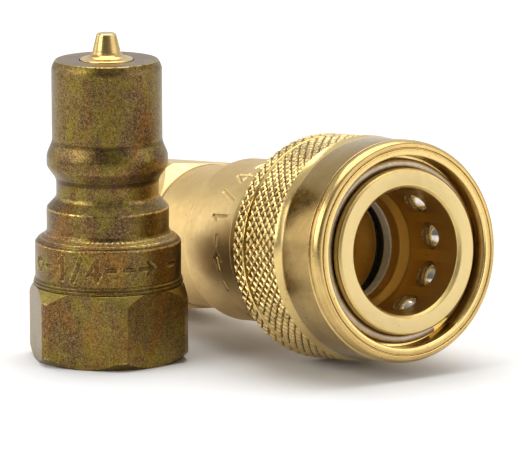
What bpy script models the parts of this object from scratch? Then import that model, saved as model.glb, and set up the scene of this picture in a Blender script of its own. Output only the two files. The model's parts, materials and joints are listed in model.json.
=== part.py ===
"""Quick disconnect coupler, 1/4 inch body size: a socket lying on its side and its nipple standing by it.

Frame: +Z up, floor at z = 0, +X along the way the socket's mouth points, origin under the middle of the set.
Dimensions are in millimetres; MM turns them into metres where vertices and places are made.
Socket parts are drawn as (radius, depth behind the mouth face), nipple parts as (radius, height).
"""

import math

import bmesh
import bpy
from mathutils import Matrix, Vector

MM = 0.001

# Driving dimensions shared by both halves
WRENCH_SIZE = 19.05
HEX_CORNER_R = 10.65
PORT_MINOR_R = 5.56
PORT_MOUTH_R = 6.9

# Socket: lengths are depths behind the mouth face
SOCKET_LENGTH = 62.0
BODY_R = 10.6
BODY_LAND_R = 10.98
BODY_REAR = 34.8
FLANGE_R = 11.95
FLANGE_START = 18.0
BORE_MOUTH_R = 8.08
BORE_R = 7.2
BORE_END = 22.8
SEAL_GROOVE = (13.4, 16.85)
SEAL_GROOVE_R = 8.75
ORIFICE_R = 5.0
SEAT_START = 24.2
CHAMBER_R = 7.4
THREAD_R = 8.55
THREAD_START = 29.2
SOCKET_ROLL = math.radians(5.5)

# Locking balls, retaining ring and sleeve
BALL_COUNT = 10
BALL_PHASE = math.radians(6.2)
BALL_R = 1.984
BALL_CENTRE_R = 9.1
BALL_DEPTH = 6.0
BALL_LIP_R = 1.76
BALL_HOLE_SLOPE = 0.35
RING_WIRE_R = 0.7
RING_MEAN_R = 11.1
RING_DEPTH = 2.1
RING_GROOVE = (1.35, 2.85)
RING_GAP = math.radians(14)
RING_GAP_AT = math.radians(150)
SLEEVE_RECESS_R = 12.2
SLEEVE_SHOULDER = 2.75
SLEEVE_LAND_R = 11.18
SLEEVE_LAND = (6.3, 8.2)
SLEEVE_POCKET_R = 12.2
SLEEVE_BAND_R = 14.18
KNURL_R = 14.5
KNURL_START = 9.05
KNURL_END = 17.9
SLEEVE_REAR = 18.2

# Rear adapter
SPIGOT_R = 8.4
SPIGOT_START = 29.5
ADAPTER_GROOVE = (32.6, 34.2)
ADAPTER_GROOVE_R = 7.15
GUIDE_BORE_R = 6.2
GUIDE_SHOULDER = 37.0
NECK_R = 9.35
NECK_START = 35.1
SOCKET_HEX = (43.9, 46.0, 61.2)

# Nipple: lengths are heights above its base
NIPPLE_HEX_TOP = 8.24
NIPPLE_BAND_R = 9.4
NIPPLE_COLLAR_R = 7.87
NIPPLE_GROOVE_R = 6.6
NIPPLE_LOCK_R = 7.81
PROBE_R = 7.1
NOSE_R = 6.6
NOSE_Z = 38.78
NIPPLE_ORIFICE_R = 3.55
NIPPLE_CHAMBER_R = 5.0
NIPPLE_RING_GROOVE = (18.9, 19.95)
NIPPLE_HEX_TURN = math.radians(-24.2)
NIPPLE_FROM_MOUTH = (-33.73, -22.98)

# Facets round a turned piece
BIG_SEGMENTS = 36
SMALL_SEGMENTS = 24

# The socket lies on its knurl's rear edge and on one corner of its hex
HEX_REST_ANGLE = math.acos(WRENCH_SIZE / 2 / HEX_CORNER_R) - SOCKET_ROLL
HEX_REST_R = HEX_CORNER_R * math.cos(HEX_REST_ANGLE)
TILT = math.atan((KNURL_R - HEX_REST_R) / (SOCKET_HEX[2] - KNURL_END))
MOUTH_Z = KNURL_R * math.cos(TILT) + KNURL_END * math.sin(TILT)
MOUTH_X = 30.64
MOUTH_Y = 9.56


def clear_scene():
    for obj in list(bpy.data.objects):
        bpy.data.objects.remove(obj, do_unlink=True)


def metal(name, color, roughness, metallic=1.0):
    mat = bpy.data.materials.new(name)
    mat.use_nodes = True
    shader = mat.node_tree.nodes["Principled BSDF"]
    shader.inputs["Base Color"].default_value = (*color, 1.0)
    shader.inputs["Roughness"].default_value = roughness
    shader.inputs["Metallic"].default_value = metallic
    return mat


def add_axis(name, parent=None, matrix=None):
    """An empty that carries the pieces turned about one axis."""
    empty = bpy.data.objects.new(name, None)
    bpy.context.collection.objects.link(empty)
    empty.parent = parent
    empty.matrix_local = matrix or Matrix.Identity(4)
    return empty


def finish_object(name, bm, parent, mat):
    """Turns a bmesh drawn in millimetres into a named object under its axis."""
    bmesh.ops.recalc_face_normals(bm, faces=bm.faces)
    bmesh.ops.scale(bm, vec=(MM, MM, MM), verts=bm.verts)
    mesh = bpy.data.meshes.new(name)
    bm.to_mesh(mesh)
    bm.free()
    mesh.shade_smooth()
    mesh.set_sharp_from_angle(angle=math.radians(30))
    obj = bpy.data.objects.new(name, mesh)
    bpy.context.collection.objects.link(obj)
    obj.parent = parent
    if mat:
        mesh.materials.append(mat)
    return obj


def helper(obj):
    """Marks a cutter, which the model leaves out."""
    obj.hide_render = True
    obj.display_type = "WIRE"
    return obj


def cut(obj, cutter, name):
    modifier = obj.modifiers.new(name, "BOOLEAN")
    modifier.operation = "DIFFERENCE"
    modifier.solver = "EXACT"
    modifier.object = cutter


def ring_of(bm, radius, height, segments):
    """The vertices of one profile point: a circle, or a single point on the axis."""
    if radius == 0:
        return [bm.verts.new((0, 0, height))] * segments
    turns = [math.tau * i / segments for i in range(segments)]
    return [bm.verts.new((radius * math.cos(a), radius * math.sin(a), height)) for a in turns]


def turned(name, profile, parent, mat, segments=BIG_SEGMENTS):
    """A turned piece: its (radius, length) outline closes on itself or on the axis."""
    bm = bmesh.new()
    rings = [ring_of(bm, radius, height, segments) for radius, height in profile]
    if profile[0][0] > 0:
        rings.append(rings[0])
    for low, high in zip(rings, rings[1:]):
        for i in range(segments):
            j = (i + 1) % segments
            corners = dict.fromkeys([low[i], low[j], high[j], high[i]])
            bm.faces.new(list(corners))
    return finish_object(name, bm, parent, mat)


def ball(name, radius, parent, mat):
    bm = bmesh.new()
    bmesh.ops.create_uvsphere(bm, u_segments=12, v_segments=6, radius=radius)
    return finish_object(name, bm, parent, mat)


def wire(name, points, radius, parent, mat):
    """A round wire along points that circle the Z axis, with flat ends."""
    sides = 6
    bm = bmesh.new()
    rings = []
    for i, point in enumerate(points):
        before = points[max(i - 1, 0)]
        after = points[min(i + 1, len(points) - 1)]
        along = (after - before).normalized()
        out = Vector((point.x, point.y, 0)).normalized()
        side = along.cross(out).normalized()
        ring = []
        for k in range(sides):
            a = math.tau * k / sides
            ring.append(bm.verts.new(point + radius * (math.cos(a) * out + math.sin(a) * side)))
        rings.append(ring)
    for low, high in zip(rings, rings[1:]):
        for k in range(sides):
            j = (k + 1) % sides
            bm.faces.new((low[k], low[j], high[j], high[k]))
    bm.faces.new(rings[0][::-1])
    bm.faces.new(rings[-1])
    return finish_object(name, bm, parent, mat)


def open_ring(name, mean_r, height, wire_r, gap_angle, gap_at, parent, mat):
    """A wire ring with a gap, as a snap ring has."""
    steps = 30
    sweep = math.tau - gap_angle
    points = []
    for i in range(steps + 1):
        a = gap_at + gap_angle / 2 + sweep * i / steps
        points.append(Vector((mean_r * math.cos(a), mean_r * math.sin(a), height)))
    return wire(name, points, wire_r, parent, mat)


def coil_spring(name, mean_r, wire_r, start, end, turns, parent, mat, steps=22):
    """A compression spring between two seats: one closed turn at each end, open turns between."""
    closed_pitch = 2.1 * wire_r
    low, high = start + wire_r, end - wire_r
    open_pitch = (high - low - 2 * closed_pitch) / (turns - 2)
    points = []
    for i in range(round(turns * steps) + 1):
        turn = i / steps
        height = low + closed_pitch * min(turn, 1)
        height += open_pitch * min(max(turn - 1, 0), turns - 2)
        height += closed_pitch * max(turn - turns + 1, 0)
        a = math.tau * turn
        points.append(Vector((mean_r * math.cos(a), mean_r * math.sin(a), height)))
    return wire(name, points, wire_r, parent, mat)


def round_seal(name, mean_r, height, section_r, parent, mat):
    """An O-ring."""
    sides = 6
    profile = []
    for k in range(sides):
        a = math.tau * (k + 0.5) / sides
        profile.append((mean_r + section_r * math.cos(a), height + section_r * math.sin(a)))
    return turned(name, profile, parent, mat, SMALL_SEGMENTS)


def hex_cutter(name, start, end, turn, parent):
    """What a hex leaves of a bar: everything outside the flats, between two lengths."""
    bm = bmesh.new()
    corner_r = WRENCH_SIZE / math.sqrt(3)
    rings = []
    for radius, height in ((corner_r, start), (2 * corner_r, start), (2 * corner_r, end), (corner_r, end)):
        angles = [turn + math.radians(60) * i for i in range(6)]
        rings.append([bm.verts.new((radius * math.cos(a), radius * math.sin(a), height)) for a in angles])
    for low, high in zip(rings, rings[1:] + rings[:1]):
        for i in range(6):
            j = (i + 1) % 6
            bm.faces.new((low[i], low[j], high[j], high[i]))
    return helper(finish_object(name, bm, parent, None))


def ball_angle(index):
    return BALL_PHASE + math.tau * index / BALL_COUNT


def ball_hole_cutter(parent):
    """Ten taper holes whose small inner lips keep the balls from falling into the bore."""
    bm = bmesh.new()
    sides = 12
    spread = 1 / math.cos(math.pi / sides)
    lip_at, wide_at, out_at = 8.0, 9.0, BODY_LAND_R + 1
    wide_r = BALL_LIP_R + BALL_HOLE_SLOPE * (wide_at - lip_at)
    throat_at = lip_at - 1
    for index in range(BALL_COUNT):
        turn = Matrix.Rotation(ball_angle(index), 4, "Z") @ Matrix.Translation((0, 0, BALL_DEPTH))
        turn = turn @ Matrix.Rotation(math.radians(90), 4, "Y")
        rings = []
        for radius, out in ((BALL_LIP_R, throat_at), (BALL_LIP_R, lip_at), (wide_r, wide_at), (wide_r, out_at)):
            points = []
            for i in range(sides):
                a = math.tau * (i + 0.5) / sides
                points.append(turn @ Vector((radius * spread * math.cos(a), radius * spread * math.sin(a), out)))
            rings.append([bm.verts.new(point) for point in points])
        for low, high in zip(rings, rings[1:]):
            for i in range(sides):
                j = (i + 1) % sides
                bm.faces.new((low[i], low[j], high[j], high[i]))
        bm.faces.new(rings[0][::-1])
        bm.faces.new(rings[-1])
    return helper(finish_object("ball_hole_cutter", bm, parent, None))


def window_cutter(name, count, radius, pitch_r, start, end, parent):
    """Round flow windows through a valve guide."""
    bm = bmesh.new()
    for i in range(count):
        a = math.tau * i / count
        middle = (pitch_r * math.cos(a), pitch_r * math.sin(a), (start + end) / 2)
        bmesh.ops.create_cone(
            bm,
            cap_ends=True,
            segments=10,
            radius1=radius,
            radius2=radius,
            depth=end - start,
            matrix=Matrix.Translation(middle),
        )
    return helper(finish_object(name, bm, parent, None))


def socket_body(roll, mat):
    profile = [
        (BORE_MOUTH_R + 0.47, 0.0),
        (BODY_R - 0.25, 0.0),
        (BODY_R, 0.25),
        (BODY_R, RING_GROOVE[0]),
        (BODY_R - 0.3, RING_GROOVE[0]),
        (BODY_R - 0.3, RING_GROOVE[1]),
        (BODY_LAND_R, RING_GROOVE[1]),
        (BODY_LAND_R, 9.0),
        (BODY_R, 9.2),
        (BODY_R, FLANGE_START),
        (FLANGE_R, FLANGE_START),
        (FLANGE_R, 22.5),
        (BODY_R, 22.7),
        (BODY_R, BODY_REAR - 0.2),
        (BODY_R - 0.15, BODY_REAR),
        (THREAD_R, BODY_REAR),
        (THREAD_R, THREAD_START),
        (CHAMBER_R, THREAD_START),
        (CHAMBER_R, SEAT_START + CHAMBER_R - ORIFICE_R),
        (ORIFICE_R, SEAT_START),
        (ORIFICE_R, BORE_END),
        (BORE_R, BORE_END),
        (BORE_R, SEAL_GROOVE[1]),
        (SEAL_GROOVE_R, SEAL_GROOVE[1]),
        (SEAL_GROOVE_R, SEAL_GROOVE[0]),
        (BORE_R, SEAL_GROOVE[0]),
        (BORE_R, 11.7),
        (BORE_MOUTH_R, 10.4),
        (BORE_MOUTH_R, 0.47),
    ]
    obj = turned("socket_body", profile, roll, mat)
    cut(obj, ball_hole_cutter(roll), "ball_holes")


def locking_balls(roll, mat):
    for index in range(BALL_COUNT):
        obj = ball(f"locking_ball_{index + 1:02d}", BALL_R, roll, mat)
        a = ball_angle(index)
        place = Vector((BALL_CENTRE_R * math.cos(a), BALL_CENTRE_R * math.sin(a), BALL_DEPTH))
        obj.matrix_local = Matrix.Translation(place * MM) @ Matrix.Rotation(a, 4, "Z")


def locking_sleeve(axis, mat):
    profile = [
        (SLEEVE_RECESS_R, 0.0),
        (13.2, 0.0),
        (SLEEVE_BAND_R, 0.65),
        (SLEEVE_BAND_R, 7.4),
        (KNURL_R, KNURL_START),
        (KNURL_R, 15.3),
        (KNURL_R - 0.3, 15.5),
        (KNURL_R - 0.3, 15.7),
        (KNURL_R, 15.9),
        (KNURL_R, KNURL_END),
        (13.9, SLEEVE_REAR),
        (SLEEVE_POCKET_R, SLEEVE_REAR),
        (SLEEVE_POCKET_R, SLEEVE_LAND[1]),
        (SLEEVE_LAND_R, SLEEVE_LAND[1]),
        (SLEEVE_LAND_R, SLEEVE_LAND[0]),
        (11.6, SLEEVE_SHOULDER),
        (SLEEVE_RECESS_R, SLEEVE_SHOULDER),
    ]
    turned("locking_sleeve", profile, axis, mat)


def bore_seals(axis, rubber, ptfe):
    profile = [(7.15, 13.45), (8.7, 13.45), (8.7, 15.0), (7.15, 15.0)]
    turned("backup_ring", profile, axis, ptfe, SMALL_SEGMENTS)
    round_seal("bore_oring", 7.86, 15.93, 0.83, axis, rubber)


def socket_poppet(axis, mat, rubber):
    profile = [
        (0, 19.5),
        (1.1, 19.5),
        (1.3, 19.7),
        (1.3, 22.6),
        (4.6, 23.4),
        (4.6, 24.35),
        (4.0, 24.35),
        (4.0, 26.0),
        (5.7, 26.0),
        (5.7, 27.2),
        (1.6, 27.2),
        (1.6, 36.2),
        (0, 36.2),
    ]
    turned("socket_poppet", profile, axis, mat, SMALL_SEGMENTS)
    round_seal("socket_poppet_seal", 4.85, 25.2, 0.77, axis, rubber)


def socket_guide(axis, mat):
    face, back, hub_start = 35.45, 36.95, 33.4
    hub_r, hub_bore_r, rim_r = 2.6, 1.75, GUIDE_BORE_R - 0.1
    profile = [
        (hub_bore_r, hub_start),
        (hub_r, hub_start),
        (hub_r, face),
        (rim_r, face),
        (rim_r, back),
        (hub_bore_r, back),
    ]
    obj = turned("socket_valve_guide", profile, axis, mat, SMALL_SEGMENTS)
    cut(obj, window_cutter("socket_guide_window_cutter", 4, 1.15, 4.45, 35.0, 38.0, axis), "windows")


def rear_adapter(roll, mat):
    hex_start, hex_full, hex_end = SOCKET_HEX
    profile = [
        (GUIDE_BORE_R, SPIGOT_START),
        (SPIGOT_R - 0.2, SPIGOT_START),
        (SPIGOT_R, SPIGOT_START + 0.2),
        (SPIGOT_R, ADAPTER_GROOVE[0]),
        (ADAPTER_GROOVE_R, ADAPTER_GROOVE[0]),
        (ADAPTER_GROOVE_R, ADAPTER_GROOVE[1]),
        (SPIGOT_R, ADAPTER_GROOVE[1]),
        (SPIGOT_R, NECK_START),
        (NECK_R, NECK_START),
        (NECK_R, hex_start),
        (HEX_CORNER_R, hex_full),
        (HEX_CORNER_R, hex_end),
        (9.6, SOCKET_LENGTH),
        (PORT_MOUTH_R, SOCKET_LENGTH),
        (6.1, SOCKET_LENGTH - 0.9),
        (PORT_MINOR_R, 47.0),
        (NIPPLE_CHAMBER_R, 46.4),
        (NIPPLE_CHAMBER_R, GUIDE_SHOULDER),
        (GUIDE_BORE_R, GUIDE_SHOULDER),
    ]
    obj = turned("rear_adapter", profile, roll, mat)
    corner = math.radians(30)
    cut(obj, hex_cutter("socket_hex_cutter", hex_start + 0.25, SOCKET_LENGTH + 1, corner, roll), "hex")


def nipple_body(axis, mat):
    profile = [
        (PORT_MOUTH_R, 0.0),
        (9.5, 0.0),
        (HEX_CORNER_R, 1.1),
        (HEX_CORNER_R, NIPPLE_HEX_TOP),
        (NIPPLE_BAND_R, 10.3),
        (NIPPLE_BAND_R, 15.6),
        (NIPPLE_COLLAR_R, 16.6),
        (NIPPLE_COLLAR_R, 19.8),
        (NIPPLE_GROOVE_R, 21.1),
        (NIPPLE_GROOVE_R, 23.45),
        (NIPPLE_LOCK_R, 25.1),
        (NIPPLE_LOCK_R, 26.6),
        (PROBE_R, 28.3),
        (PROBE_R, 37.9),
        (NOSE_R, NOSE_Z),
        (NIPPLE_ORIFICE_R, NOSE_Z),
        (NIPPLE_ORIFICE_R, 37.2),
        (NIPPLE_CHAMBER_R, 35.75),
        (NIPPLE_CHAMBER_R, NIPPLE_RING_GROOVE[1]),
        (5.6, NIPPLE_RING_GROOVE[1]),
        (5.6, NIPPLE_RING_GROOVE[0]),
        (NIPPLE_CHAMBER_R, NIPPLE_RING_GROOVE[0]),
        (NIPPLE_CHAMBER_R, 15.6),
        (PORT_MINOR_R, 15.0),
        (6.1, 0.9),
    ]
    obj = turned("nipple_body", profile, axis, mat)
    cut(obj, hex_cutter("nipple_hex_cutter", -1.0, 10.25, 0.0, axis), "hex")


def nipple_valve(axis, brass, rubber, steel):
    profile = [
        (0, 42.25),
        (1.1, 42.25),
        (1.27, 42.05),
        (1.5, 40.3),
        (2.2, 39.4),
        (3.42, 38.9),
        (3.42, 37.35),
        (2.35, 37.35),
        (2.35, 35.95),
        (4.3, 35.95),
        (4.3, 34.9),
        (1.4, 34.9),
        (1.4, 19.3),
        (0, 19.3),
    ]
    turned("nipple_poppet", profile, axis, brass, SMALL_SEGMENTS)
    round_seal("nipple_poppet_seal", 3.1, 36.65, 0.67, axis, rubber)
    face, back, hub_top = 21.5, 20.0, 23.2
    hub_r, hub_bore_r, rim_r = 2.3, 1.55, NIPPLE_CHAMBER_R - 0.15
    guide = [
        (hub_bore_r, back),
        (rim_r, back),
        (rim_r, face),
        (hub_r, face),
        (hub_r, hub_top),
        (hub_bore_r, hub_top),
    ]
    obj = turned("nipple_valve_guide", guide, axis, brass, SMALL_SEGMENTS)
    cut(obj, window_cutter("nipple_guide_window_cutter", 6, 0.72, 3.95, 19.0, 22.5, axis), "windows")
    coil_spring("nipple_valve_spring", 2.9, 0.35, face + 0.05, 34.85, 7, axis, steel, steps=12)
    ring_z = sum(NIPPLE_RING_GROOVE) / 2
    open_ring("nipple_guide_retaining_ring", 5.05, ring_z, 0.45, math.radians(40), math.pi, axis, steel)


def socket_frame():
    """The socket's axis: local +Z runs from the mouth to the rear, local +X is its upper side."""
    place = Matrix.Translation(Vector((MOUTH_X, MOUTH_Y, MOUTH_Z)) * MM)
    return place @ Matrix.Rotation(-math.radians(90) - TILT, 4, "Y")


def nipple_frame():
    x, y = NIPPLE_FROM_MOUTH
    place = Matrix.Translation(Vector((MOUTH_X + x, MOUTH_Y + y, 0)) * MM)
    return place @ Matrix.Rotation(NIPPLE_HEX_TURN, 4, "Z")


def main():
    clear_scene()
    body_brass = metal("satin_brass", (0.66, 0.47, 0.24), 0.34)
    sleeve_brass = metal("polished_brass", (0.78, 0.58, 0.24), 0.22)
    aged_brass = metal("aged_brass", (0.17, 0.13, 0.06), 0.38)
    valve_brass = metal("valve_brass", (0.80, 0.62, 0.28), 0.2)
    steel = metal("bright_steel", (0.62, 0.62, 0.63), 0.12)
    spring_steel = metal("spring_steel", (0.36, 0.33, 0.30), 0.32)
    rubber = metal("seal_rubber", (0.02, 0.02, 0.02), 0.55, 0.0)
    ptfe = metal("backup_plastic", (0.33, 0.31, 0.24), 0.5, 0.0)

    socket = add_axis("socket_axis", matrix=socket_frame())
    roll = add_axis("socket_roll", socket, Matrix.Rotation(SOCKET_ROLL, 4, "Z"))
    socket_body(roll, body_brass)
    rear_adapter(roll, body_brass)
    round_seal("adapter_oring", 7.82, sum(ADAPTER_GROOVE) / 2, 0.63, roll, rubber)
    locking_balls(roll, steel)
    locking_sleeve(socket, sleeve_brass)
    coil_spring("sleeve_spring", 11.56, 0.4, SLEEVE_LAND[1] + 0.1, FLANGE_START - 0.05, 4, socket, spring_steel)
    open_ring(
        "sleeve_retaining_ring", RING_MEAN_R, RING_DEPTH, RING_WIRE_R, RING_GAP, RING_GAP_AT, socket, spring_steel
    )
    bore_seals(socket, rubber, ptfe)
    socket_poppet(socket, valve_brass, rubber)
    socket_guide(socket, valve_brass)
    coil_spring("socket_valve_spring", 3.4, 0.4, 27.25, 35.4, 5, socket, spring_steel, steps=14)

    nipple = add_axis("nipple_axis", matrix=nipple_frame())
    nipple_body(nipple, aged_brass)
    nipple_valve(nipple, valve_brass, rubber, spring_steel)


main()
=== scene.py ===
"""Looks of a quick disconnect coupler: a brass socket lying on its side, its aged nipple standing by it.

Pieces are drawn about their own axis in millimetres: (radius, depth behind the mouth face) on the socket
and (radius, height) on the nipple. MM turns them into metres where vertices are made.
"""

import json
import math

import bmesh
import bpy
import numpy as np
from mathutils import Matrix, Vector


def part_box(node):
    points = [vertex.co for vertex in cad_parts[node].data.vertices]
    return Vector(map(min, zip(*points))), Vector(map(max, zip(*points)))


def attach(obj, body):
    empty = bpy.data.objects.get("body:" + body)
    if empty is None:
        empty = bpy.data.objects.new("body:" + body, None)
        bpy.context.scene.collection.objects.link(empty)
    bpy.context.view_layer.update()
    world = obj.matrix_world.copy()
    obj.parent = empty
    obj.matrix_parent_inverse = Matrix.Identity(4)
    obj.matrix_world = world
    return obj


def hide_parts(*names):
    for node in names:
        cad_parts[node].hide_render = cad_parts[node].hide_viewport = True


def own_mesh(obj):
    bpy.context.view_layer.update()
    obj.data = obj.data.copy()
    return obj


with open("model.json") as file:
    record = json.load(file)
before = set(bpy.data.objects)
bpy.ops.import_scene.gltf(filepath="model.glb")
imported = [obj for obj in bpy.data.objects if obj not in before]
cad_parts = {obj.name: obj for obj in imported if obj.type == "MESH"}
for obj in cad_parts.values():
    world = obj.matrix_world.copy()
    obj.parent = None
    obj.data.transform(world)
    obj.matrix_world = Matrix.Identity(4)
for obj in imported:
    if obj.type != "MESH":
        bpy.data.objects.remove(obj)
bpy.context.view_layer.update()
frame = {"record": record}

MM = 0.001
FILLET = 0.09
FINE_SEGMENTS = 400
SMOOTH_ANGLE = 34
CARVED_SMOOTH_ANGLE = 24

# Where the halves are, from the frame
MOUNTS = {mount["name"]: mount for mount in frame["record"]["mounts"]}
MOUTH_MOUNT_R = 9.4
OUT = Vector(MOUNTS["socket_mouth_face"]["axis"]).normalized()
SIDE = Vector((0, 1, 0))
UP = OUT.cross(SIDE)
MOUTH = Vector(MOUNTS["socket_mouth_face"]["pos_m"]) + UP * MOUTH_MOUNT_R * MM
ROLL = math.radians(5.5)

# Sizes that several pieces share
WRENCH_SIZE = 19.05
BALL_COUNT = 10
BALL_R = 2.04
BALL_CENTRE_R = 9.1
BALL_DEPTH = 6.0
BALL_PHASE = math.radians(6.2)
BALL_HOLE = ((1.80, 7.0), (1.80, 8.1), (1.99, 8.5), (2.08, 9.0), (2.12, 12.0))
THREAD_PITCH = 1.411

# The sleeve's outside, by depth behind the mouth face
SMOOTH_BAND = (1.78, 7.38)
COVE = (7.42, 8.98)
KNURL = (8.95, 18.25)
PLAIN_RING = (15.15, 16.0)
KNURL_R = 14.5
KNURL_TEETH = 64
KNURL_AXIAL_PITCH = 1.44

# Values of the attribute that the brass materials read: above 0 is brighter, for rubbed edges and for painted
# light; below 0 is darker, for dirt and for painted shade in creases and grooves
# Darkens the sleeve's smooth band as painted shade
PAINTED_SHADE = -0.38
# Brightens shaded recesses in the mouth as painted light
PAINTED_LIGHT = 0.8
POLISHED = 2.0


def axes_matrix(x, y, z, origin):
    matrix = Matrix((x, y, z)).transposed().to_4x4()
    matrix.translation = origin
    return matrix


def nipple_base():
    low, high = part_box("nipple_poppet")
    middle = (low + high) / 2
    return Vector((middle.x, middle.y, 0))


SOCKET = axes_matrix(UP, SIDE, -OUT, MOUTH)
SOCKET_ROLLED = SOCKET @ Matrix.Rotation(ROLL, 4, "Z")
NIPPLE = Matrix.Translation(nipple_base())
NIPPLE_TURN = math.radians(-24.2)


# Outlines and turned pieces


def rounded(outline, fillet=FILLET):
    """The outline with each corner rounded, and each point's value of rubbing and painted light.

    Outer corners get up to 1, brighter as rubbed edges, and inner ones down to -0.6, darker as painted shade
    in the crease. An entry is (radius, z), then its own fillet, then its own value, which can set a painted
    highlight or shade at that corner.
    """
    count = len(outline)
    spots = [np.array(entry[:2], float) for entry in outline]
    area = sum(float(np.cross(spots[i - 1], spots[i])) for i in range(count))
    points, wear_and_painted_light = [], []
    for i, here in enumerate(spots):
        radius = outline[i][2] if len(outline[i]) > 2 else fillet
        back = here - spots[i - 1]
        ahead = spots[(i + 1) % count] - here
        longest = 0.45 * min(np.linalg.norm(back), np.linalg.norm(ahead))
        reach = min(radius, longest)
        if here[0] == 0 or reach < 0.004:
            points.append(here)
            wear_and_painted_light.append(0.0)
            continue
        start = here - back / np.linalg.norm(back) * reach
        end = here + ahead / np.linalg.norm(ahead) * reach
        bend = float(np.cross(back, ahead)) / np.linalg.norm(back) / np.linalg.norm(ahead)
        outer = bend * area > 0
        # Inner corners get a negative value, darkened as painted shade in the crease
        amount = min(1.0, 1.6 * abs(bend)) * (1.0 if outer else -0.6)
        if len(outline[i]) > 3:
            amount = outline[i][3]
        for t in (0, 0.25, 0.5, 0.75, 1):
            points.append((1 - t) ** 2 * start + 2 * t * (1 - t) * here + t * t * end)
            wear_and_painted_light.append(amount if 0 < t < 1 else 0.0)
    return np.array(points), np.array(wear_and_painted_light)


def densify(points, wear_and_painted_light, zones):
    """Adds rows where relief needs them. Each zone is (z from, z to, least radius, step)."""
    rows, wear_light_and_shade = [], []
    for i in range(len(points)):
        a, b = points[i], points[(i + 1) % len(points)]
        wa, wb = wear_and_painted_light[i], wear_and_painted_light[(i + 1) % len(points)]
        pieces = 1
        for low, high, least, step in zones:
            in_length = min(a[1], b[1]) >= low - 1e-6 and max(a[1], b[1]) <= high + 1e-6
            if in_length and min(a[0], b[0]) >= least:
                pieces = max(1, math.ceil(np.linalg.norm(b - a) / step))
        for k in range(pieces):
            rows.append(a + (b - a) * k / pieces)
            wear_light_and_shade.append(wa + (wb - wa) * k / pieces if pieces > 1 and k else wa)
    return np.array(rows), np.array(wear_light_and_shade)


def new_object(name, mesh, matrix, material):
    obj = bpy.data.objects.new(name, mesh)
    bpy.context.scene.collection.objects.link(obj)
    obj.matrix_world = matrix
    if material:
        mesh.materials.clear()
        mesh.materials.append(material)
    return obj


def smooth(mesh, angle=SMOOTH_ANGLE):
    mesh.shade_smooth()
    mesh.set_sharp_from_angle(angle=math.radians(angle))


def turned(name, outline, matrix, material, segments=128, fillet=FILLET, relief=None, zones=()):
    """A piece turned about its axis. relief(angle, z, radius, value) returns the carved radius and the value
    of rubbing and painted light.
    """
    points, wear_and_painted_light = rounded(outline, fillet)
    points, wear_and_painted_light = densify(points, wear_and_painted_light, zones)
    angles = np.arange(segments) * math.tau / segments
    angle, z = np.meshgrid(angles, points[:, 1])
    radius = np.repeat(points[:, :1], segments, axis=1)
    wear_light_and_shade = np.repeat(wear_and_painted_light[:, None], segments, axis=1)
    if relief:
        radius, wear_light_and_shade = relief(angle, z, radius, wear_light_and_shade)
    co = np.stack([radius * np.cos(angle), radius * np.sin(angle), z], axis=-1).reshape(-1, 3) * MM
    closed = outline[0][0] > 0
    rows = len(points)
    low = np.arange(rows if closed else rows - 1)
    i, k = np.meshgrid(low, np.arange(segments), indexing="ij")
    j, m = (i + 1) % rows, (k + 1) % segments
    faces = np.stack([i * segments + k, i * segments + m, j * segments + m, j * segments + k], axis=-1)
    mesh = bpy.data.meshes.new(name)
    mesh.from_pydata(co.tolist(), [], faces.reshape(-1, 4).tolist())
    attribute = mesh.attributes.new("wear_and_painted_light", "FLOAT", "POINT")
    attribute.data.foreach_set("value", wear_light_and_shade.reshape(-1).astype(np.float32))
    tidy_mesh(mesh, merge=not closed)
    smooth(mesh)
    return new_object(name, mesh, matrix, material)


def tidy_mesh(mesh, merge=False):
    """Faces out, and the rows that lie on the axis merged to one point."""
    bm = bmesh.new()
    bm.from_mesh(mesh)
    if merge:
        bmesh.ops.remove_doubles(bm, verts=bm.verts, dist=1e-7)
    bmesh.ops.recalc_face_normals(bm, faces=bm.faces)
    bm.to_mesh(mesh)
    bm.free()


def swept(name, points, section, matrix, material):
    """A solid swept along points that circle the axis. section is a list of (out, along axis) offsets."""
    bm = bmesh.new()
    rings = []
    for i, point in enumerate(points):
        along = (points[min(i + 1, len(points) - 1)] - points[max(i - 1, 0)]).normalized()
        out = Vector((point.x, point.y, 0)).normalized()
        side = along.cross(out).normalized()
        rings.append([bm.verts.new((point + out * a + side * b) * MM) for a, b in section])
    count = len(section)
    for low, high in zip(rings, rings[1:]):
        for k in range(count):
            bm.faces.new((low[k], low[(k + 1) % count], high[(k + 1) % count], high[k]))
    bm.faces.new(rings[0][::-1])
    bm.faces.new(rings[-1])
    bmesh.ops.recalc_face_normals(bm, faces=bm.faces)
    mesh = bpy.data.meshes.new(name)
    bm.to_mesh(mesh)
    bm.free()
    smooth(mesh)
    return new_object(name, mesh, matrix, material)


def round_section(radius, sides=14):
    turns = [math.tau * k / sides for k in range(sides)]
    return [(radius * math.cos(a), radius * math.sin(a)) for a in turns]


def circle_points(mean_r, height, start, sweep, steps=120):
    turns = [start + sweep * i / steps for i in range(steps + 1)]
    return [Vector((mean_r * math.cos(a), mean_r * math.sin(a), height)) for a in turns]


def spring_points(mean_r, wire_r, start, end, turns, steps=40):
    """The centreline of a compression spring with one closed turn at each end."""
    pitch = 2.1 * wire_r
    low, high = start + wire_r, end - wire_r
    open_pitch = (high - low - 2 * pitch) / (turns - 2)
    points = []
    for i in range(round(turns * steps) + 1):
        turn = i / steps
        height = low + pitch * min(turn, 1) + open_pitch * min(max(turn - 1, 0), turns - 2)
        height += pitch * max(turn - turns + 1, 0)
        a = math.tau * turn
        points.append(Vector((mean_r * math.cos(a), mean_r * math.sin(a), height)))
    return points


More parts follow.
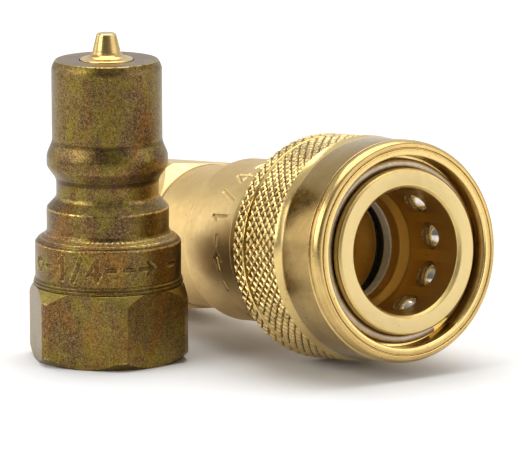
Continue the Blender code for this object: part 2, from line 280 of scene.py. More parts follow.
def carve(obj, cutter):
    """Cuts the cutter out of the piece and bakes the result into its mesh."""
    modifier = obj.modifiers.new("carve", "BOOLEAN")
    modifier.operation = "DIFFERENCE"
    modifier.solver = "EXACT"
    modifier.object = cutter
    graph = bpy.context.evaluated_depsgraph_get()
    mesh = bpy.data.meshes.new_from_object(obj.evaluated_get(graph))
    obj.modifiers.clear()
    obj.data = mesh
    smooth(mesh, CARVED_SMOOTH_ANGLE)
    bpy.data.objects.remove(cutter, do_unlink=True)


def prism_rings(name, rings, matrix, closed=False):
    """A cutter through rings of points, each ring with as many points as the next."""
    bm = bmesh.new()
    loops = [[bm.verts.new(point * MM) for point in ring] for ring in rings]
    pairs = list(zip(loops, loops[1:]))
    if closed:
        pairs.append((loops[-1], loops[0]))
    count = len(loops[0])
    for low, high in pairs:
        for k in range(count):
            bm.faces.new((low[k], low[(k + 1) % count], high[(k + 1) % count], high[k]))
    if not closed:
        bm.faces.new(loops[0][::-1])
        bm.faces.new(loops[-1])
    bmesh.ops.recalc_face_normals(bm, faces=bm.faces)
    mesh = bpy.data.meshes.new(name)
    bm.to_mesh(mesh)
    bm.free()
    return new_object(name, mesh, matrix, None)


def hex_cutter(start, end, turn, matrix):
    """Everything outside the six flats, between two lengths."""
    corner_r = WRENCH_SIZE / math.sqrt(3)
    rings = []
    for radius, height in ((corner_r, start), (2 * corner_r, start), (2 * corner_r, end), (corner_r, end)):
        turns = [turn + math.radians(60) * i for i in range(6)]
        rings.append([Vector((radius * math.cos(a), radius * math.sin(a), height)) for a in turns])
    return prism_rings("hex_cutter", rings, matrix, closed=True)


def ball_angle(index):
    return BALL_PHASE + math.tau * index / BALL_COUNT


def ball_hole_cutter(index, matrix):
    """One taper hole, narrower than its ball at the bore, from inside the bore to past the body."""
    turn = Matrix.Rotation(ball_angle(index), 4, "Z") @ Matrix.Translation((0, 0, BALL_DEPTH))
    turn = turn @ Matrix.Rotation(math.radians(90), 4, "Y")
    rings = []
    for radius, out in BALL_HOLE:
        turns = [math.tau * k / 40 for k in range(40)]
        rings.append([turn @ Vector((radius * math.cos(a), radius * math.sin(a), out)) for a in turns])
    return prism_rings("ball_hole_cutter", rings, matrix)


# Relief: knurl and stamped marks


def scatter(cell_a, cell_b, seed):
    """A fixed pseudo-random number from 0 to 1 for each tooth of the knurl."""
    value = np.sin(cell_a * 12.9898 + cell_b * 78.233 + seed) * 43758.5453
    return value - np.floor(value)


def between(z, limits):
    return (z > limits[0]) & (z < limits[1])


def knurl(angle, z, radius, wear_and_painted_light):
    """Flat-topped pyramids between two crossing sets of grooves, each tip tilted and rubbed differently, the
    grooves darkened as dirt and painted shade; painted light and shade are also set on the bands beside the
    knurl.
    """
    around = KNURL_TEETH * angle / math.tau
    a = around + z / KNURL_AXIAL_PITCH
    b = around - z / KNURL_AXIAL_PITCH
    cell_a, cell_b = np.floor(a) % KNURL_TEETH, np.floor(b) % KNURL_TEETH
    across, along = a % 1 - 0.5, b % 1 - 0.5
    narrow = np.clip((np.abs(across) - 0.33) / 0.17, 0, 1) * 0.24
    wide = np.clip((np.abs(along) - 0.30) / 0.20, 0, 1) * 0.30
    depth = np.maximum(narrow, wide)
    tilt = 0.13 * (scatter(cell_a, cell_b, 0.0) - 0.5) * across
    tilt += 0.13 * (scatter(cell_a, cell_b, 5.0) - 0.5) * along
    height = 0.03 * scatter(cell_a, cell_b, 9.0)
    surface = KNURL_R - 0.035 - depth + np.where(depth < 0.12, tilt, 0) - height
    ring = between(z, PLAIN_RING)
    cut_in = between(z, KNURL) & (radius > 13.5) & (surface < radius) & ~ring
    carved = np.where(cut_in, surface, radius)
    # Tips get a random rubbing value; it falls with depth, darkening the grooves as dirt and painted shade
    wear_light_and_shade = np.where(cut_in, np.clip(0.9 - 0.6 * scatter(cell_a, cell_b, 3.0) - depth * 7.0, -1, 1), wear_and_painted_light)
    outside = radius > 14.1
    # The plain ring between the knurls is brightened as a painted highlight
    wear_light_and_shade = np.where(ring & outside, 0.9, wear_light_and_shade)
    # The sleeve's smooth band is darkened as painted shade
    wear_light_and_shade = np.where(between(z, SMOOTH_BAND) & outside, PAINTED_SHADE, wear_light_and_shade)
    # The cove below the knurl is brightened as a painted highlight
    wear_light_and_shade = np.where(between(z, COVE) & outside, 0.5, wear_light_and_shade)
    # The inside of the sleeve's mouth is brightened as painted light
    wear_light_and_shade = np.where((z < 2.8) & (radius < 12.9), PAINTED_LIGHT, wear_light_and_shade)
    return carved, wear_light_and_shade


GLYPHS = {
    "1": [[(0.15, 0.78), (0.32, 1.0), (0.32, 0.0)]],
    "/": [[(0.05, -0.05), (0.5, 1.05)]],
    "4": [[(0.42, 0.0), (0.42, 1.0), (0.02, 0.3), (0.58, 0.3)]],
    "-": [[(0.08, 0.5), (0.5, 0.5)]],
    ">": [[(0.0, 0.5), (0.75, 0.5)], [(0.45, 0.8), (0.78, 0.5), (0.45, 0.2)]],
    "o": [[(0.3 + 0.28 * math.cos(a), 0.5 + 0.28 * math.sin(a)) for a in np.linspace(0, math.tau, 13)]],
}


def stamp_strokes(text, height, spacing):
    """The line segments of a row of generic marks, centred on its middle, in millimetres."""
    strokes = []
    for index, mark in enumerate(text):
        middle = (index - (len(text) - 1) / 2) * spacing
        for line in GLYPHS.get(mark, []):
            xy = [((x - 0.3) * height + middle, (y - 0.5) * height) for x, y in line]
            strokes += list(zip(xy, xy[1:]))
    return strokes


def stamped(rows, base_r, stroke, grime_and_shade):
    """A relief that presses rows of marks into a band, with a raised burr round each stroke.

    Each row is (text, centre angle, centre z, height, spacing). stroke is half a stroke's width, and the last
    argument is how dark the bottom of the marks is made, as dirt and painted shade.
    """

    def relief(angle, z, radius, wear_and_painted_light):
        band = np.abs(radius - base_r) < 0.02
        nearest = np.full(radius.shape, math.inf)
        for text, centre, middle, height, spacing in rows:
            x = ((angle - centre + math.pi) % math.tau - math.pi) * base_r
            y = z - middle
            for (x0, y0), (x1, y1) in stamp_strokes(text, height, spacing):
                length2 = (x1 - x0) ** 2 + (y1 - y0) ** 2
                t = np.clip(((x - x0) * (x1 - x0) + (y - y0) * (y1 - y0)) / length2, 0, 1)
                nearest = np.minimum(nearest, np.hypot(x - x0 - t * (x1 - x0), y - y0 - t * (y1 - y0)))
        press = np.clip((stroke + 0.08 - nearest) / 0.16, 0, 1)
        burr = np.clip(1 - np.abs(nearest - stroke - 0.14) / 0.13, 0, 1)
        carved = np.where(band, radius - 0.16 * press + 0.03 * burr, radius)
        # The burr is brightened as a painted highlight, and the bottom of each mark darkened as dirt and
        # painted shade
        wear_light_and_shade = np.where(band, wear_and_painted_light + 0.95 * burr - grime_and_shade * press, wear_and_painted_light)
        return carved, wear_light_and_shade

    return relief


# Materials


class Nodes:
    """A short way to write a material's node tree."""

    def __init__(self, name):
        self.material = bpy.data.materials.new(name)
        self.material.use_nodes = True
        self.tree = self.material.node_tree
        self.shader = self.tree.nodes["Principled BSDF"]

    def node(self, kind, **settings):
        made = self.tree.nodes.new(kind)
        for key, value in settings.items():
            setattr(made, key, value)
        return made

    def link(self, source, target):
        if isinstance(source, bpy.types.NodeSocket):
            self.tree.links.new(source, target)
        elif source is not None:
            target.default_value = source

    def math(self, operation, a, b=None, clamp=False):
        made = self.node("ShaderNodeMath", operation=operation, use_clamp=clamp)
        self.link(a, made.inputs[0])
        self.link(b, made.inputs[1])
        return made.outputs[0]

    def place(self):
        return self.node("ShaderNodeTexCoord").outputs["Object"]

    def stretched(self, scale):
        made = self.node("ShaderNodeMapping")
        self.link(self.place(), made.inputs["Vector"])
        made.inputs["Scale"].default_value = scale
        return made.outputs[0]

    def rings(self):
        """A vector that changes only along and away from the axis, as tool marks do."""
        xyz = self.node("ShaderNodeSeparateXYZ")
        self.link(self.place(), xyz.inputs[0])
        square = self.math("ADD", self.math("MULTIPLY", xyz.outputs[0], xyz.outputs[0]),
                           self.math("MULTIPLY", xyz.outputs[1], xyz.outputs[1]))
        made = self.node("ShaderNodeCombineXYZ")
        self.link(self.math("SQRT", square), made.inputs[0])
        self.link(xyz.outputs[2], made.inputs[2])
        return made.outputs[0]

    def noise(self, vector, size_mm, detail=3.0, roughness=0.5, distortion=0.0):
        made = self.node("ShaderNodeTexNoise")
        self.link(vector, made.inputs["Vector"])
        made.inputs["Scale"].default_value = 1 / (size_mm * MM)
        made.inputs["Detail"].default_value = detail
        made.inputs["Roughness"].default_value = roughness
        made.inputs["Distortion"].default_value = distortion
        return made.outputs["Fac"]

    def remap(self, value, low, high, to_low=0.0, to_high=1.0):
        made = self.node("ShaderNodeMapRange", clamp=True)
        self.link(value, made.inputs["Value"])
        for key, number in (("From Min", low), ("From Max", high), ("To Min", to_low), ("To Max", to_high)):
            made.inputs[key].default_value = number
        return made.outputs["Result"]

    def mix(self, factor, a, b, blend="MIX"):
        made = self.node("ShaderNodeMix", data_type="RGBA", blend_type=blend)
        self.link(factor, made.inputs["Factor"])
        for value, target in ((a, made.inputs["A"]), (b, made.inputs["B"])):
            self.link((*value, 1.0) if isinstance(value, tuple) else value, target)
        return made.outputs["Result"]

    def wear_and_painted_light(self):
        return self.node("ShaderNodeAttribute", attribute_name="wear_and_painted_light").outputs["Fac"]

    def bump(self, height, distance_mm, strength=1.0, normal=None):
        made = self.node("ShaderNodeBump")
        made.inputs["Strength"].default_value = strength
        made.inputs["Distance"].default_value = distance_mm * MM
        self.link(height, made.inputs["Height"])
        if normal:
            self.link(normal, made.inputs["Normal"])
        return made.outputs["Normal"]

    def finish(self, color, roughness, normal=None, metallic=1.0):
        self.link((*color, 1.0) if isinstance(color, tuple) else color, self.shader.inputs["Base Color"])
        self.link(roughness, self.shader.inputs["Roughness"])
        self.shader.inputs["Metallic"].default_value = metallic
        if normal:
            self.link(normal, self.shader.inputs["Normal"])
        return self.material


def turned_brass(name, light, dark, bright, roughness, pits, brushed=0.45):
    """Clean machined brass: tool-mark rings, soft stains, small dark pits, brighter rubbed corners, and
    painted light and shade where the attribute sets them.

    The higher pits is, up to 1, the fewer there are. brushed is how far highlights spread across the
    tool marks.
    """
    n = Nodes(name)
    rings = n.rings()
    stain = n.noise(n.place(), 5.0, 4, 0.6, 0.6)
    cloud = n.noise(n.place(), 0.9, 4, 0.65)
    fine = n.noise(n.place(), 0.2, 2, 0.7)
    tool = n.noise(rings, 0.11, 2, 0.7)
    speck = n.noise(n.place(), 0.34, 2, 0.45)
    color = n.mix(n.remap(stain, 0.35, 0.68), light, dark)
    color = n.mix(n.remap(cloud, 0.35, 0.72, 0.0, 0.35), color, dark)
    color = n.mix(n.remap(fine, 0.55, 0.8, 0.0, 0.3), color, tuple(0.6 * c for c in dark))
    color = n.mix(n.remap(tool, 0.4, 0.75, 0.0, 0.2), color, tuple(0.55 * c for c in dark))
    wear_light_and_shade = n.wear_and_painted_light()
    # Above 0 the colour turns brighter: rubbed outer corners, and painted light on the bands, recesses and
    # bore that the attribute marks
    color = n.mix(n.remap(wear_light_and_shade, 0.15, 0.8, 0.0, 0.85), color, bright)
    color = n.mix(n.remap(wear_light_and_shade, 1.2, 1.9, 0.0, 0.8), color, (0.60, 0.455, 0.225))
    # Below 0 it turns darker: painted shade in creases and grooves and on the sleeve's smooth band, and dirt
    # and painted shade in the knurl and stamped marks
    grime_and_shade = n.remap(wear_light_and_shade, -0.1, -0.8, 0.0, 0.85)
    color = n.mix(grime_and_shade, color, tuple(0.12 * c for c in dark))
    pit = n.remap(speck, pits, pits + 0.05)
    color = n.mix(n.math("MULTIPLY", pit, 0.8), color, tuple(0.18 * c for c in dark))
    rough = n.remap(cloud, 0.3, 0.7, roughness - 0.03, roughness + 0.09)
    rough = n.math("SUBTRACT", rough, n.remap(wear_light_and_shade, 0.2, 0.9, 0.0, 0.05))
    normal = n.bump(tool, 0.003)
    normal = n.bump(n.math("MULTIPLY", pit, -1.0), 0.03, 0.6, normal)
    n.shader.inputs["Anisotropic"].default_value = brushed
    turning = n.node("ShaderNodeTangent", direction_type="RADIAL", axis="Z")
    n.link(turning.outputs["Tangent"], n.shader.inputs["Tangent"])
    return n.finish(color, rough, normal)


def aged_brass():
    """Passivated brass: olive on the hex and browner above, patchy and grainy, with golden rubbed corners,
    painted highlights on the shoulder, the waist cone and the cone over the hex, and painted shade in the
    grooves.
    """
    n = Nodes("aged_brass")
    base = n.noise(n.stretched((1, 1, 0.3)), 3.6, 2, 0.5, 0.4)
    patch = n.noise(n.stretched((1, 1, 0.4)), 4.5, 3, 0.5, 1.0)
    green = n.noise(n.place(), 3.2, 2, 0.5, 1.0)
    grain = n.noise(n.place(), 0.14, 2, 0.7)
    coarse = n.noise(n.place(), 0.36, 4, 0.8)
    xyz = n.node("ShaderNodeSeparateXYZ")
    n.link(n.place(), xyz.inputs[0])
    above_hex = n.remap(xyz.outputs[2], 7 * MM, 13 * MM, -0.09, 0.06)
    base = n.math("ADD", base, above_hex)
    color = n.mix(n.remap(base, 0.36, 0.64), (0.190, 0.130, 0.028), (0.110, 0.060, 0.028))
    color = n.mix(n.remap(patch, 0.50, 0.70, 0.0, 0.6), color, (0.30, 0.115, 0.010))
    color = n.mix(n.remap(green, 0.50, 0.68, 0.0, 0.6), color, (0.24, 0.20, 0.012))
    color = n.mix(n.remap(coarse, 0.50, 0.66, 0.0, 0.6), color, (0.36, 0.24, 0.11))
    color = n.mix(n.remap(coarse, 0.48, 0.32, 0.0, 0.75), color, (0.040, 0.020, 0.007))
    color = n.mix(n.remap(grain, 0.54, 0.70, 0.0, 0.6), color, (0.52, 0.37, 0.16))
    color = n.mix(n.remap(grain, 0.47, 0.30, 0.0, 0.75), color, (0.02, 0.010, 0.004))
    wear_light_and_shade = n.wear_and_painted_light()
    # Golden where the value is high: rubbed outer corners, and painted highlights on the concave shoulder,
    # the waist cone and the burrs of the marks
    broken = n.math("MULTIPLY", n.remap(wear_light_and_shade, 0.3, 0.9), n.remap(coarse, 0.42, 0.62), clamp=True)
    color = n.mix(n.math("MULTIPLY", broken, 0.7), color, (0.80, 0.55, 0.18))
    # Dark where the value is below 0: painted shade in the groove rings and under the band, and dirt and
    # painted shade in the stamped marks
    color = n.mix(n.remap(wear_light_and_shade, -0.1, -0.6, 0.0, 0.75), color, (0.03, 0.018, 0.008))
    # The cone over the hex is tinted yellow-green as a painted highlight
    chamfer_highlight = n.node("ShaderNodeAttribute", attribute_name="chamfer_highlight").outputs["Fac"]
    color = n.mix(n.math("MULTIPLY", chamfer_highlight, 0.35), color, (0.46, 0.36, 0.07))
    rough = n.remap(coarse, 0.3, 0.7, 0.26, 0.40)
    rough = n.math("SUBTRACT", rough, n.math("MULTIPLY", broken, 0.12))
    normal = n.bump(grain, 0.02, 1.0)
    normal = n.bump(coarse, 0.03, 0.7, normal)
    return n.finish(color, rough, normal)


def plain_metal(name, light, dark, roughness, grain_mm=0.3):
    """Drawn or ground metal with faint clouding."""
    n = Nodes(name)
    cloud = n.noise(n.place(), grain_mm, 4, 0.6)
    wide = n.noise(n.place(), 2.2, 3, 0.6, 0.8)
    color = n.mix(n.remap(wide, 0.35, 0.7), light, dark)
    color = n.mix(n.remap(cloud, 0.5, 0.8, 0.0, 0.45), color, tuple(0.5 * c for c in dark))
    rough = n.remap(cloud, 0.3, 0.75, roughness, roughness + 0.14)
    return n.finish(color, rough, n.bump(cloud, 0.004, 0.6))


def seal(name, light, dark, roughness):
    """Moulded rubber or plastic with a dusty bloom."""
    n = Nodes(name)
    bloom = n.noise(n.place(), 0.8, 4, 0.65, 0.5)
    fine = n.noise(n.place(), 0.12, 2, 0.6)
    color = n.mix(n.remap(bloom, 0.4, 0.75), dark, light)
    rough = n.remap(bloom, 0.3, 0.7, roughness, roughness + 0.15)
    n.shader.inputs["Specular IOR Level"].default_value = 0.25
    return n.finish(color, rough, n.bump(fine, 0.01, 0.5), 0.0)


SOCKET_BRASS = turned_brass(
    "satin_brass", (0.79, 0.57, 0.255), (0.67, 0.47, 0.185), (0.86, 0.69, 0.25), 0.36, 0.71, 0.7)
SLEEVE_BRASS = turned_brass(
    "polished_brass", (0.66, 0.46, 0.175), (0.52, 0.345, 0.12), (0.86, 0.66, 0.27), 0.19, 0.69)
VALVE_BRASS = turned_brass(
    "valve_brass", (0.66, 0.46, 0.18), (0.52, 0.36, 0.13), (0.84, 0.66, 0.31), 0.20, 0.72)
AGED_BRASS = aged_brass()
BALL_STEEL = plain_metal("bearing_steel", (0.74, 0.71, 0.65), (0.52, 0.47, 0.40), 0.10, 0.5)
RING_STEEL = plain_metal("ring_wire", (0.48, 0.40, 0.32), (0.36, 0.29, 0.23), 0.30)
SPRING_STEEL = plain_metal("spring_wire", (0.36, 0.28, 0.21), (0.24, 0.18, 0.13), 0.34)
RUBBER = seal("seal_rubber", (0.016, 0.015, 0.013), (0.004, 0.004, 0.004), 0.5)
PTFE = seal("backup_plastic", (0.82, 0.78, 0.70), (0.62, 0.58, 0.50), 0.35)


# Socket pieces


def socket_body():
    outline = [
        (8.5, 0.0, 0.12), (10.3, 0.0, 0.1), (10.6, 0.3, 0.12), (10.6, 1.35), (10.3, 1.35), (10.3, 2.85),
        (10.98, 2.85), (10.98, 9.0), (10.6, 9.2), (10.6, 18.0), (11.95, 18.0, 0.15), (11.95, 22.5, 0.25),
        (10.6, 22.7, 0.2), (10.6, 34.5, 0.15), (10.35, 34.8, 0.1), (8.55, 34.8), (8.55, 29.2), (7.4, 29.2),
        (7.4, 26.6), (5.0, 24.2), (5.0, 22.8, 0.15), (7.2, 22.8), (7.2, 16.85), (8.75, 16.85), (8.75, 13.4),
        (7.2, 13.4, 0.12), (7.2, 11.7, 0.25), (8.08, 10.4, 0.25), (8.08, 0.45, 0.15),
    ]
    rows = [
        ("o-->-1/4-", math.radians(-88), 27.3, 3.0, 3.1),
        ("o-->-1/4-", math.radians(92), 27.3, 3.0, 3.1),
    ]
    marks = stamped(rows, 10.6, 0.17, 0.25)

    def relief(angle, z, radius, wear_and_painted_light):
        radius, wear_and_painted_light = marks(angle, z, radius, wear_and_painted_light)
        recess = between(z, (0.3, 2.9)) & (radius > 10.2)
        bore = between(z, (0.5, 10.4)) & (radius < 8.2)
        face = (z < 0.01) & between(radius, (8.4, 10.4))
        # The groove behind the mouth face and the bore are brightened as painted light
        wear_and_painted_light = np.where(recess, PAINTED_LIGHT, wear_and_painted_light)
        wear_and_painted_light = np.where(bore, 0.7, wear_and_painted_light)
        return radius, np.where(face, POLISHED, wear_and_painted_light)

    zone = [(22.7, 34.6, 10.5, 0.15)]
    body = turned(
        "socket_body_fine", outline, SOCKET_ROLLED, SOCKET_BRASS, FINE_SEGMENTS, relief=relief, zones=zone)
    for index in range(BALL_COUNT):
        carve(body, ball_hole_cutter(index, SOCKET_ROLLED))
    place(body, "socket", "socket_brass", "socket_body")


def rear_adapter():
    outline = [
        (6.2, 29.5), (8.2, 29.5), (8.4, 29.7), (8.4, 32.6), (7.15, 32.6), (7.15, 34.2), (8.4, 34.2),
        (8.4, 35.1), (9.35, 35.1, 0.15), (9.35, 43.9, 0.3), (10.65, 46.0, 0.2), (10.65, 61.2, 0.2),
        (9.6, 62.0, 0.15), (6.9, 62.0, 0.1), (6.15, 61.1), (5.7, 47.0), (5.0, 46.3), (5.0, 37.0), (6.2, 37.0),
    ]
    piece = turned("rear_adapter_fine", outline, SOCKET_ROLLED, SOCKET_BRASS, 192)
    carve(piece, hex_cutter(44.15, 63.0, math.radians(30), SOCKET_ROLLED))
    place(piece, "socket", "socket_brass", "rear_adapter")
    thread = port_thread("socket_port_thread", 48.0, 61.2, 5.72, 6.18, SOCKET_ROLLED, SOCKET_BRASS)
    place(thread, "socket", "socket_brass")


def port_thread(name, start, end, start_r, end_r, matrix, material):
    """The ridge of a tapered pipe thread inside a port."""
    turns = (end - start) / THREAD_PITCH
    steps = round(turns * 48)
    points = []
    for i in range(steps + 1):
        t = i / steps
        radius = start_r + (end_r - start_r) * t
        a = math.tau * turns * t
        points.append(Vector((radius * math.cos(a), radius * math.sin(a), start + (end - start) * t)))
    section = [(0.12, -0.6), (-0.38, -0.1), (-0.38, 0.1), (0.12, 0.6)]
    return swept(name, points, section, matrix, material)


def locking_sleeve():
    cove = [(14.17 + 0.33 * t * (0.35 + 0.65 * t), 7.42 + 1.6 * t, 0.01) for t in np.linspace(0, 1, 9)[1:-1]]
    # Corners with -1 darken the two small grooves in the nose as painted shade
    outline = [
        (12.2, 0.14, 0.1), (12.34, 0.0, 0.08), (13.0, 0.0, 0.05), (13.06, 0.2, 0.03, -1),
        (13.2, 0.2, 0.03, -1), (13.28, 0.02, 0.06), (13.75, 0.1, 0.3, 0.3), (14.12, 0.75, 0.3, 0.3),
        (14.17, 1.3, 0.05), (13.88, 1.42, 0.03, -1), (13.88, 1.62, 0.03, -1), (14.18, 1.76, 0.05),
        (14.18, 7.38, 0.05), *cove, (14.5, 9.02, 0.03), (14.5, 15.12, 0.04), (14.32, 15.2, 0.03),
        (14.32, 15.95, 0.03), (14.5, 16.03, 0.04), (14.5, 17.85, 0.08), (13.9, 18.2, 0.12),
        (12.2, 18.2), (12.2, 8.2), (11.18, 8.2), (11.18, 6.3, 0.2), (11.6, 2.75), (12.2, 2.75),
    ]
    zone = [(8.5, 18.2, 13.8, 0.1)]
    piece = turned(
        "locking_sleeve_fine", outline, SOCKET, SLEEVE_BRASS, 12 * KNURL_TEETH, relief=knurl, zones=zone)
    place(piece, "sleeve", "sleeve_brass", "locking_sleeve")


def locking_balls():
    for index in range(BALL_COUNT):
        name = f"ball_{index + 1:02d}"
        bm = bmesh.new()
        bmesh.ops.create_uvsphere(bm, u_segments=48, v_segments=32, radius=BALL_R * MM)
        mesh = bpy.data.meshes.new(name)
        bm.to_mesh(mesh)
        bm.free()
        mesh.shade_smooth()
        a = ball_angle(index)
        spot = Vector((BALL_CENTRE_R * math.cos(a), BALL_CENTRE_R * math.sin(a), BALL_DEPTH)) * MM
        tumble = Matrix.Rotation(1.7 * index, 4, "X") @ Matrix.Rotation(0.9 * index, 4, "Z")
        matrix = SOCKET_ROLLED @ Matrix.Translation(spot) @ tumble
        obj = new_object(name + "_polished", mesh, matrix, BALL_STEEL)
        place(obj, name, "ball_steel", f"locking_{name}")


def socket_seals():
    ring = swept("retaining_wire", circle_points(11.1, 2.1, math.radians(157), math.radians(346)),
                 round_section(0.7), SOCKET, RING_STEEL)
    place(ring, "socket", "spring_steel", "sleeve_retaining_ring")
    for name, node, mean_r, height, section_r, matrix in (
        ("bore_oring_round", "bore_oring", 7.86, 15.93, 0.83, SOCKET),
        ("adapter_oring_round", "adapter_oring", 7.82, 33.4, 0.63, SOCKET_ROLLED),
    ):
        place(round_seal(name, mean_r, height, section_r, matrix), "socket", "seal_rubber", node)
    outline = [(7.12, 13.45), (8.7, 13.45), (8.7, 15.02), (7.12, 15.02)]
    backup = turned("backup_ring_cut", outline, SOCKET, PTFE, 96, 0.16)
    place(backup, "socket", "backup_plastic", "backup_ring")


def round_seal(name, mean_r, height, section_r, matrix):
    turns = [math.tau * k / 20 for k in range(20)]
    outline = [(mean_r + section_r * math.cos(a), height + section_r * math.sin(a), 0) for a in turns]
    return turned(name, outline, matrix, RUBBER, 96)


def socket_valve():
    outline = [
        (0, 19.5), (1.05, 19.5, 0.15), (1.3, 19.75, 0.15), (1.3, 22.3, 0.4), (2.2, 23.0, 0.5),
        (4.6, 23.4, 0.15), (4.6, 24.35), (4.0, 24.35), (4.0, 26.0), (5.7, 26.0, 0.2), (5.7, 27.2, 0.2),
        (1.6, 27.2, 0.2), (1.6, 36.0, 0.15), (1.4, 36.2, 0.1), (0, 36.2),
    ]
    poppet = turned("socket_poppet_fine", outline, SOCKET, VALVE_BRASS, 96)
    place(poppet, "socket_valve", "valve_brass", "socket_poppet")
    ring = round_seal("socket_poppet_ring", 4.85, 25.2, 0.77, SOCKET)
    place(ring, "socket_valve", "seal_rubber", "socket_poppet_seal")
    guide = [
        (1.75, 33.4), (2.6, 33.4, 0.2), (2.6, 35.45), (6.1, 35.45, 0.12), (6.1, 36.95, 0.12), (1.75, 36.95),
    ]
    piece = turned("socket_guide_fine", guide, SOCKET, VALVE_BRASS, 96)
    cut_windows(piece, 4, 1.15, 4.45, 35.0, 38.0, SOCKET)
    place(piece, "socket", "valve_brass", "socket_valve_guide")


def cut_windows(piece, count, radius, pitch_r, start, end, matrix):
    """Round flow holes through a guide, on a circle about its axis."""
    circle = [Vector((x, y, 0)) for x, y in round_section(radius, 24)]
    for i in range(count):
        a = math.tau * i / count
        middle = Vector((pitch_r * math.cos(a), pitch_r * math.sin(a), 0))
        rings = []
        for height in (start, end):
            rings.append([middle + point + Vector((0, 0, height)) for point in circle])
        carve(piece, prism_rings("window_cutter", rings, matrix))


def springs():
    """The springs, swept along centrelines with a closed turn at each end, each given a mesh of its own."""
    points = spring_points(11.56, 0.4, 8.3, 17.95, 4)
    sleeve = swept("sleeve_spring_wire", points, round_section(0.4), SOCKET, SPRING_STEEL)
    place(sleeve, "socket", "spring_steel", "sleeve_spring")
    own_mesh(sleeve)
    points = spring_points(3.4, 0.4, 27.25, 35.4, 5)
    valve = swept("socket_spring_wire", points, round_section(0.4), SOCKET, SPRING_STEEL)
    place(valve, "socket", "spring_steel", "socket_valve_spring")
    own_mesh(valve)
    points = spring_points(2.9, 0.35, 21.55, 34.85, 7)
    nipple = swept("nipple_spring_wire", points, round_section(0.35), NIPPLE, SPRING_STEEL)
    place(nipple, "nipple", "spring_steel", "nipple_valve_spring")
    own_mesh(nipple)


# Nipple pieces


def nipple_body():
    # A fourth number sets a corner's value: the groove rings and the step under the band are darkened as
    # painted shade, and the concave shoulder and the waist cone are brightened as painted highlights
    outline = [
        (6.9, 0.0, 0.1), (9.5, 0.0, 0.15), (10.65, 1.1, 0.2), (10.65, 8.24, 0.15), (9.72, 9.66, 0.05),
        (9.46, 9.74, 0.04, -0.25), (9.46, 9.9, 0.04, -0.25), (9.66, 9.98, 0.05, 0.5),
        (9.62, 10.12, 0.05, 0.3), (9.42, 10.2, 0.04, -0.25), (9.42, 10.3, 0.04, -0.25),
        (9.58, 10.38, 0.05, 0.5), (9.5, 10.54, 0.05, 0.3), (9.34, 10.62, 0.03, -0.25),
        (9.34, 10.7, 0.03, -0.25), (9.4, 10.8, 0.06, 0.3), (9.4, 15.3, 0.16, 1.0), (9.14, 15.52, 0.06, -0.7),
        (9.06, 15.7, 0.05, -0.7), (8.72, 15.92, 0.1, 0.9), (8.1, 16.35, 0.25, 0.9), (7.87, 16.8, 0.25, 0.2),
        (7.87, 19.7, 0.2, 1.0), (6.6, 21.1, 0.5, 0.5), (6.6, 23.4, 0.5), (7.81, 25.1, 0.4, 0.35),
        (7.81, 26.55, 0.4, 0.1), (7.1, 28.3, 0.4), (7.1, 37.9, 0.6, 0.15), (6.62, 38.78, 0.16, 0.9),
        (3.55, 38.78, 0.1), (3.55, 37.2), (5.0, 35.75), (5.0, 19.95), (5.6, 19.95), (5.6, 18.9), (5.0, 18.9),
        (5.0, 15.6), (5.7, 14.9), (6.15, 0.9),
    ]
    rows = [
        ("o-1/4--> -", math.radians(-38), 13.0, 2.7, 2.3),
        ("o-1/4--> -", math.radians(142), 13.0, 2.7, 2.3),
    ]
    marks = stamped(rows, 9.4, 0.22, 0.3)

    zone = [(10.7, 15.4, 9.3, 0.12)]
    body = turned("nipple_body_fine", outline, NIPPLE, AGED_BRASS, FINE_SEGMENTS, relief=marks, zones=zone)
    carve(body, hex_cutter(-1.0, 9.7, NIPPLE_TURN, NIPPLE))
    mark_chamfer_highlight(body.data, 8.2, 9.7)
    place(body, "nipple", "aged_brass", "nipple_body")
    thread = port_thread("nipple_port_thread", 0.8, 14.3, 6.18, 5.72, NIPPLE, AGED_BRASS)
    place(thread, "nipple", "aged_brass")


def mark_chamfer_highlight(mesh, low, high):
    """Marks the faces of the cone that runs over the hex: the material paints them brighter than the flats,
    as a painted highlight.
    """
    marks = mesh.attributes.new("chamfer_highlight", "FLOAT", "FACE")
    for face, mark in zip(mesh.polygons, marks.data):
        mark.value = float(low < face.center.z / MM < high and abs(face.normal.z) > 0.3)


def nipple_valve():
    flare = []
    for t in np.linspace(0, 1, 7):
        a = t * math.pi / 2
        flare.append((1.74 + 1.55 * (1 - math.cos(a)), 40.1 - 1.15 * math.sin(a), 0.01))
    outline = [
        (0, 42.2), (1.1, 42.2, 0.12), (1.27, 42.05, 0.1), *flare, (3.42, 38.85, 0.05), (3.42, 37.35),
        (2.35, 37.35), (2.35, 35.95), (4.3, 35.95, 0.15), (4.3, 34.9, 0.15), (1.4, 34.9, 0.15),
        (1.4, 19.3, 0.15), (0, 19.3),
    ]
    poppet = turned("nipple_poppet_fine", outline, NIPPLE, VALVE_BRASS, 128)
    place(poppet, "nipple_valve", "valve_brass", "nipple_poppet")
    seal_ring = round_seal("nipple_poppet_ring", 3.1, 36.65, 0.67, NIPPLE)
    place(seal_ring, "nipple_valve", "seal_rubber", "nipple_poppet_seal")
    guide = [
        (1.55, 20.0), (4.85, 20.0, 0.12), (4.85, 21.5, 0.12), (2.3, 21.5), (2.3, 23.2, 0.2), (1.55, 23.2),
    ]
    piece = turned("nipple_guide_fine", guide, NIPPLE, VALVE_BRASS, 96)
    cut_windows(piece, 6, 0.72, 3.95, 19.0, 22.5, NIPPLE)
    place(piece, "nipple", "valve_brass", "nipple_valve_guide")
    ring = swept("nipple_snap_wire", circle_points(5.05, 19.425, math.radians(200), math.radians(320)),
                 round_section(0.45), NIPPLE, SPRING_STEEL)
    place(ring, "nipple", "spring_steel", "nipple_guide_retaining_ring")


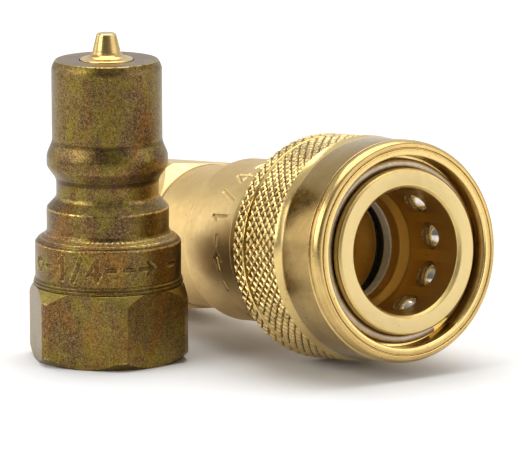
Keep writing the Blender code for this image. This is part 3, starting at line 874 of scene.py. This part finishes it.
def place(obj, body, slot, *nodes):
    """Parents the piece to an empty for the body it moves with and hides the nodes it replaces. slot is not
    used.
    """
    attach(obj, body)
    if nodes:
        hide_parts(*nodes)


# Stage: camera, floor and light

VIEW_AZIMUTH = math.radians(54.77)
VIEW_PITCH = math.radians(10.66)
VIEW_ROLL = math.radians(-0.213)
RIGHT = Vector((math.cos(VIEW_AZIMUTH), math.sin(VIEW_AZIMUTH), 0))
TOWARD = Vector((math.sin(VIEW_AZIMUTH), -math.cos(VIEW_AZIMUTH), 0))
HIGH = Vector((0, 0, 1))
LENS_MM = 463.74
AIM_HEIGHT = 0.018


def camera():
    data = bpy.data.cameras.new("camera")
    data.lens = LENS_MM
    data.sensor_width = 36
    data.clip_start = 0.05
    data.clip_end = 20
    obj = bpy.data.objects.new("camera", data)
    bpy.context.scene.collection.objects.link(obj)
    back = TOWARD * math.cos(VIEW_PITCH) + HIGH * math.sin(VIEW_PITCH)
    level_up = back.cross(RIGHT)
    right = RIGHT * math.cos(VIEW_ROLL) + level_up * math.sin(VIEW_ROLL)
    spot = nipple_base() + RIGHT * 0.020123 + TOWARD * 0.860655 + HIGH * 0.178283
    obj.matrix_world = axes_matrix(right, back.cross(right), back, spot)
    bpy.context.scene.camera = obj


def area_light(name, right, toward, high, size, radiance):
    """A square softbox that faces the object, placed as seen from the camera."""
    data = bpy.data.lights.new(name, "AREA")
    data.shape = "SQUARE"
    data.size = size
    data.energy = radiance * math.pi * size * size
    obj = bpy.data.objects.new(name, data)
    bpy.context.scene.collection.objects.link(obj)
    spot = RIGHT * right + TOWARD * toward + HIGH * high
    obj.location = spot
    obj.rotation_euler = (HIGH * AIM_HEIGHT - spot).to_track_quat("-Z", "Y").to_euler()


def floor():
    half = 3.0
    corners = [(-half, -half, 0), (half, -half, 0), (half, half, 0), (-half, half, 0)]
    mesh = bpy.data.meshes.new("floor")
    mesh.from_pydata(corners, [], [(0, 1, 2, 3)])
    material = Nodes("pale_floor").finish((0.86, 0.86, 0.86), 0.8, metallic=0.0)
    new_object("floor", mesh, Matrix.Translation((0, 0, -0.00002)), material)


def room():
    """A soft room: light behind and above, darker on the camera's side."""
    world = bpy.data.worlds.new("room")
    bpy.context.scene.world = world
    world.use_nodes = True
    tree = world.node_tree
    coord = tree.nodes.new("ShaderNodeTexCoord")
    dot = tree.nodes.new("ShaderNodeVectorMath")
    dot.operation = "DOT_PRODUCT"
    dot.inputs[1].default_value = (TOWARD - RIGHT * 0.5 - HIGH * 0.2).normalized()
    ramp = tree.nodes.new("ShaderNodeMapRange")
    for key, number in (("From Min", -0.9), ("From Max", 0.8), ("To Min", 0.9), ("To Max", 0.2)):
        ramp.inputs[key].default_value = number
    tree.links.new(coord.outputs["Generated"], dot.inputs[0])
    tree.links.new(dot.outputs["Value"], ramp.inputs["Value"])
    background = tree.nodes["Background"]
    background.inputs["Color"].default_value = (1, 1, 1, 1)
    tree.links.new(ramp.outputs["Result"], background.inputs["Strength"])


def studio():
    bpy.context.scene.view_settings.view_transform = "Standard"
    bpy.context.scene.cycles.glossy_bounces = 10
    floor()
    room()
    area_light("right_softbox", 0.75, 0.25, 0.22, 0.7, 1.05)
    area_light("left_softbox", -0.60, 0.30, 0.35, 0.45, 3.6)
    area_light("top_softbox", 0.0, -0.20, 0.90, 0.9, 2.8)
    area_light("back_left_softbox", -0.80, -0.28, 0.26, 0.45, 1.4)


camera()
socket_body()
rear_adapter()
locking_sleeve()
locking_balls()
socket_seals()
socket_valve()
nipple_body()
nipple_valve()
springs()
studio()
